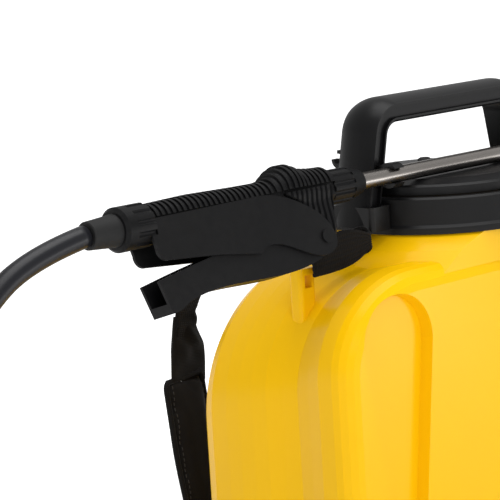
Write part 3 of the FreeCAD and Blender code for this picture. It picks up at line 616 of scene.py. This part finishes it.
def shoulder_pad(name, side):
    """Padded part of one strap, narrow at both ends, with its binding, bar tacks and stitched edges."""
    route = [(side * x, y, z) for x, y, z in
             ((0.149, 0.136, 0.306), (0.150, 0.132, 0.285), (0.151, 0.125, 0.236), (0.148, 0.113, 0.180))]
    points = smooth_points(route, 16)

    def across(t):
        return Vector((1.0, -side * 0.2, 0.0))

    def width_at(t):
        ends = min(1.0, (t + 0.02) / 0.10, (1.02 - t) / 0.07)
        return 0.0235 * (0.72 + 0.28 * math.sqrt(max(0.0, 1 - (1 - ends) ** 2)))

    def section(t):
        half = width_at(t)
        thick = 0.0042 * (0.55 + 0.45 * min(1.0, t / 0.08, (1 - t) / 0.08))
        return [(half * math.copysign(abs(math.cos(a)) ** 0.6, math.cos(a)),
                 thick * math.copysign(abs(math.sin(a)) ** 0.8, math.sin(a)))
                for a in [2 * math.pi * k / 24 for k in range(24)]]

    pad = swept_band("pad_cover_" + name, points, across, section, "pad_fabric")
    swollen(pad, 0.0035, 0.0042)
    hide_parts("shoulder_pad_" + name)
    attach(pad, "root")
    count = len(points)
    rims = []
    for sign in (1, -1):
        rim = [point + across(0).normalized() * (sign * width_at(i / (count - 1)))
               for i, point in enumerate(points)]
        rims.append(rim)
    loop_points = rims[0] + rims[1][::-1]
    binding("pad_binding_" + name, loop_points)
    outward = Vector((side * 0.2, 1.0, 0.12)).normalized()
    for label, facing in (("outer", -outward), ("inner", outward)):
        for number, share in ((1, 0.80), (2, -0.80)):
            line = [point + across(0).normalized() * (share * width_at(i / (count - 1)))
                    for i, point in enumerate(points)]
            stitches("pad_stitch_%s_%s_%d" % (label, name, number), pad, line, facing)
    for number, t in enumerate((0.06, 0.94)):
        middle = points[int(t * (count - 1))]
        sideways = across(0).normalized() * 0.013
        stitches("pad_tack_%s_%d" % (name, number), pad, [middle - sideways, middle + sideways], -outward,
                 pitch=0.0018, length=0.0016)


def strap_gusset(name, side):
    """Cover cloth gathered round the end of the webbing, flaring inwards down to the pad."""
    route = [(0.1415, 0.1392, 0.352), (0.1430, 0.1392, 0.337), (0.1450, 0.1385, 0.320), (0.1475, 0.1365, 0.303)]
    points = smooth_points([(side * x, y, z) for x, y, z in route], 14)
    count = 26

    def folds(t):
        flare = 0.5 - 0.5 * math.cos(math.pi * min(1.0, t / 0.55))
        outer, inner = 0.0150 + 0.0045 * t, 0.0155 + 0.0165 * flare
        full = 0.0016 + 0.0010 * math.sin(math.pi * t)
        top, low = [], []
        for k in range(count + 1):
            share = k / count
            s = -side * (-outer + (outer + inner) * share)
            crease = 0.0019 * math.sin(5.2 * share + 5.0 * t) + 0.0011 * math.sin(11.0 * share - 7.5 * t)
            crease *= math.sin(math.pi * min(1.0, t * 1.15 + 0.05)) * math.sin(math.pi * share) ** 0.5
            edge = math.sqrt(max(0.0, 1 - (2 * share - 1) ** 8))
            top.append((s, crease + full * edge))
            low.append((s, crease - full * edge))
        return top + low[::-1]

    piece = swept_band("strap_gusset_" + name, points, crossing(side), folds, "pad_fabric")
    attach(piece, "root")


def shoulder_straps():
    """Both shoulder straps, from the webbing at the collar down to the hems at the base."""
    for name, side in (("left", -1), ("right", 1)):
        run_in = [(0.093, 0.096, 0.398), (0.106, 0.116, 0.394), (0.127, 0.133, 0.377), (0.138, 0.138, 0.360),
                  (0.1415, 0.1385, 0.342), (0.1430, 0.1375, 0.326)]
        across = crossing(side)
        points = smooth_points([(side * x, y, z) for x, y, z in run_in], 14)
        upper = pleated(points, across, 0.62, 1.0, 1.5, 0.0009)
        webbing("upper_webbing_" + name, upper, across, 0.0300, 0.0017, "strap_upper_" + name)
        strap_gusset(name, side)
        shoulder_pad(name, side)
        run_out = [(0.146, 0.1105, 0.178), (0.149, 0.1065, 0.150), (0.150, 0.1035, 0.120),
                   (0.150, 0.096, 0.064)]
        points = smooth_points([(side * x, y, z) for x, y, z in run_out], 12)
        webbing("lower_webbing_" + name, points, lambda t: Vector((1.0, -side * 0.2, 0.0)), 0.0255, 0.0017,
                "strap_lower_" + name)
        end = [(side * 0.150, 0.0985, 0.082), (side * 0.150, 0.0963, 0.066), (side * 0.150, 0.0950, 0.0625),
               (side * 0.150, 0.0975, 0.0625), (side * 0.150, 0.1002, 0.078)]
        webbing("webbing_hem_" + name, smooth_points(end, 6), lambda t: Vector((1.0, -side * 0.2, 0.0)),
                0.0255, 0.0015)


def strap_loops():
    """Webbing folded back on itself beside the collar; lengthwise ribs show on its face."""
    for name, side in (("left", -1), ("right", 1)):
        fold = [(0.1650, -0.0215, 0.4112), (0.150, -0.0225, 0.4116), (0.128, -0.0258, 0.4142),
                (0.1100, -0.0262, 0.4158), (0.1055, -0.0225, 0.4160), (0.1075, -0.0165, 0.4150),
                (0.122, -0.0125, 0.4110), (0.146, -0.0105, 0.4070)]
        points = smooth_points([(side * x, y, z) for x, y, z in fold], 10)

        def ribbed(t):
            rows = 28
            pinch = math.exp(-((t - 0.47) / 0.17) ** 2)
            half = 0.0140 - 0.0088 * pinch - 0.0060 * max(0.0, t - 0.5) / 0.5
            top = [(half * (2 * k / rows - 1), 0.0008 + (0.0005 if k % 4 in (1, 2) else 0.0))
                   for k in range(rows + 1)]
            return top + [(s, -h) for s, h in reversed(top)]

        piece = swept_band("loop_webbing_" + name, points, lambda t: Vector((side * 0.12, 0.0, 1.0)), ribbed,
                           "strap_webbing")
        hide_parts("strap_loop_" + name)
        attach(piece, "root")


def back_cushion():
    """Foam pad against the wearer's back, with sewn cross channels and a bound edge."""
    width, height, middle_y, middle_z = 0.232, 0.292, 0.0918, 0.225
    outline = []
    corner = 0.040
    for cx, cz, start in ((1, 1, 0), (-1, 1, 90), (-1, -1, 180), (1, -1, 270)):
        for k in range(7):
            a = math.radians(start + 15 * k)
            outline.append((cx * (width / 2 - corner) + corner * math.cos(a),
                            cz * (height / 2 - corner) + corner * math.sin(a)))
    mesh = bpy.data.meshes.new("back_cushion")
    bm = bmesh.new()
    layers = []
    for y, shrink in ((-0.0052, 0.94), (-0.0036, 0.985), (0.0, 1.0), (0.0030, 0.985), (0.0046, 0.94)):
        layers.append([bm.verts.new((x * shrink, middle_y + y, middle_z + z * shrink)) for x, z in outline])
    count = len(outline)
    for low, high in zip(layers, layers[1:]):
        for k in range(count):
            bm.faces.new((low[k], low[k - count + 1], high[k - count + 1], high[k]))
    bm.faces.new(layers[0][::-1])
    bm.faces.new(layers[-1])
    bmesh.ops.recalc_face_normals(bm, faces=bm.faces[:])
    bm.to_mesh(mesh)
    bm.free()
    pad = make_object("back_cushion", mesh, "pad_fabric")
    swollen(pad, 0.0030, 0.006)
    channels = [middle_z + offset for offset in (-0.095, -0.032, 0.032, 0.095)]
    for vertex in pad.data.vertices:
        if vertex.co.y > middle_y + 0.001:
            depth = max(math.exp(-((vertex.co.z - z) / 0.0055) ** 2) for z in channels)
            fade = min(1.0, max(0.0, (width / 2 - 0.010 - abs(vertex.co.x)) / 0.02))
            vertex.co.y -= 0.0035 * depth * fade
        vertex.co.y = min(max(vertex.co.y, 0.0853), 0.1010)
    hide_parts("back_pad")
    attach(pad, "root")
    rim = [Vector((x, middle_y, middle_z + z)) for x, z in outline]
    ring = round_section(0.0026)
    edge = swept_band("back_pad_binding", rim, lambda t: Vector((0.0, 1.0, 0.0)), lambda t: ring,
                      "strap_webbing", True)
    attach(edge, "root")
    for number, z in enumerate(channels):
        reach = width / 2 - 0.014
        line = [Vector((-reach + 2 * reach * k / 12, middle_y, z)) for k in range(13)]
        stitches("back_pad_stitch_%d" % number, pad, line, Vector((0.0, -1.0, 0.0)))


# ---- camera, light and floor ----------------------------------------------------------
CAMERA_TURNS = (44.86, 8.99, 3.53)      # heading, downward tilt and roll, degrees
CAMERA_PLACE = Vector((-1.415, -1.216, COLLAR_Z + 0.278))
FLOOR_REACH = 30.0
GLOW_STARTS, GLOW_FULL = 0.60, 1.20     # distance from the sprayer at which the floor brightens, metres
GLOW_NEAR, GLOW_FAR = 0.05, 0.80
SURROUND_LIGHT = 0.54
SOFTBOXES = [                           # name, place, aim, size, watts
    ("softbox_front", (-1.1, -2.0, 1.5), (-0.1, 0.0, 0.3), (0.9, 0.9), 15),
    ("softbox_top", (0.1, -0.2, 2.2), (0.0, 0.0, 0.4), (1.6, 1.6), 26),
    ("softbox_low", (0.91, -1.12, 0.15), (-0.14, -0.07, 0.30), (0.30, 0.22), 1.3),
]


def camera():
    """Seen from the gun side, slightly above the collar."""
    heading, tilt, roll = (math.radians(angle) for angle in CAMERA_TURNS)
    look = Vector((math.sin(heading) * math.cos(tilt), math.cos(heading) * math.cos(tilt), -math.sin(tilt)))
    level = Vector((math.cos(heading), -math.sin(heading), 0.0))
    upright = level.cross(look)
    right = level * math.cos(roll) - upright * math.sin(roll)
    above = level * math.sin(roll) + upright * math.cos(roll)
    data = bpy.data.cameras.new("camera")
    data.sensor_width = 36.0
    data.lens = 180.0
    data.clip_end = 100.0
    piece = bpy.data.objects.new("camera", data)
    bpy.context.collection.objects.link(piece)
    turn = Matrix((right, above, -look)).transposed()
    piece.matrix_world = Matrix.Translation(CAMERA_PLACE) @ turn.to_4x4()
    bpy.context.scene.camera = piece


def area_light(name, place_at, aim, size, power):
    """White rectangular softbox pointed at aim."""
    data = bpy.data.lights.new(name, "AREA")
    data.shape = "RECTANGLE"
    data.size, data.size_y = size
    data.energy = power
    piece = bpy.data.objects.new(name, data)
    bpy.context.collection.objects.link(piece)
    piece.location = place_at
    piece.rotation_euler = (Vector(aim) - Vector(place_at)).to_track_quat("-Z", "Y").to_euler()


def studio():
    """Pale floor that brightens away from the sprayer, an even surround and three softboxes."""
    mesh = bpy.data.meshes.new("floor")
    corners = [(x * FLOOR_REACH, y * FLOOR_REACH, 0) for x, y in ((-1, -1), (1, -1), (1, 1), (-1, 1))]
    mesh.from_pydata(corners, [], [(0, 1, 2, 3)])
    material, tree, shader = new_material("studio_floor")
    grain = add_noise(tree, 2.0, 2.0)
    tree.links.new(spread(tree, grain.outputs["Fac"], 0.8, 0.95), shader.inputs["Roughness"])
    shader.inputs["Base Color"].default_value = (0.88, 0.88, 0.88, 1.0)
    coords = tree.nodes.new("ShaderNodeTexCoord")
    distance = tree.nodes.new("ShaderNodeVectorMath")
    distance.operation = "LENGTH"
    tree.links.new(coords.outputs["Object"], distance.inputs[0])
    glow = tree.nodes.new("ShaderNodeMapRange")
    glow.inputs["From Min"].default_value = GLOW_STARTS
    glow.inputs["From Max"].default_value = GLOW_FULL
    glow.inputs["To Min"].default_value = GLOW_NEAR
    glow.inputs["To Max"].default_value = GLOW_FAR
    tree.links.new(distance.outputs["Value"], glow.inputs["Value"])
    shader.inputs["Emission Color"].default_value = (1.0, 1.0, 1.0, 1.0)
    tree.links.new(glow.outputs["Result"], shader.inputs["Emission Strength"])
    mesh.materials.append(material)
    floor = bpy.data.objects.new("floor", mesh)
    bpy.context.collection.objects.link(floor)
    world = bpy.data.worlds.new("studio")
    world.use_nodes = True
    surround = world.node_tree.nodes["Background"]
    surround.inputs["Color"].default_value = (1.0, 1.0, 1.0, 1.0)
    surround.inputs["Strength"].default_value = SURROUND_LIGHT
    bpy.context.scene.world = world
    bpy.context.scene.view_settings.view_transform = "Standard"
    for softbox in SOFTBOXES:
        area_light(*softbox)


def main():
    dress_cad_nodes()
    hose()
    shoulder_straps()
    strap_loops()
    back_cushion()
    grip_nose()
    camera()
    studio()


main()
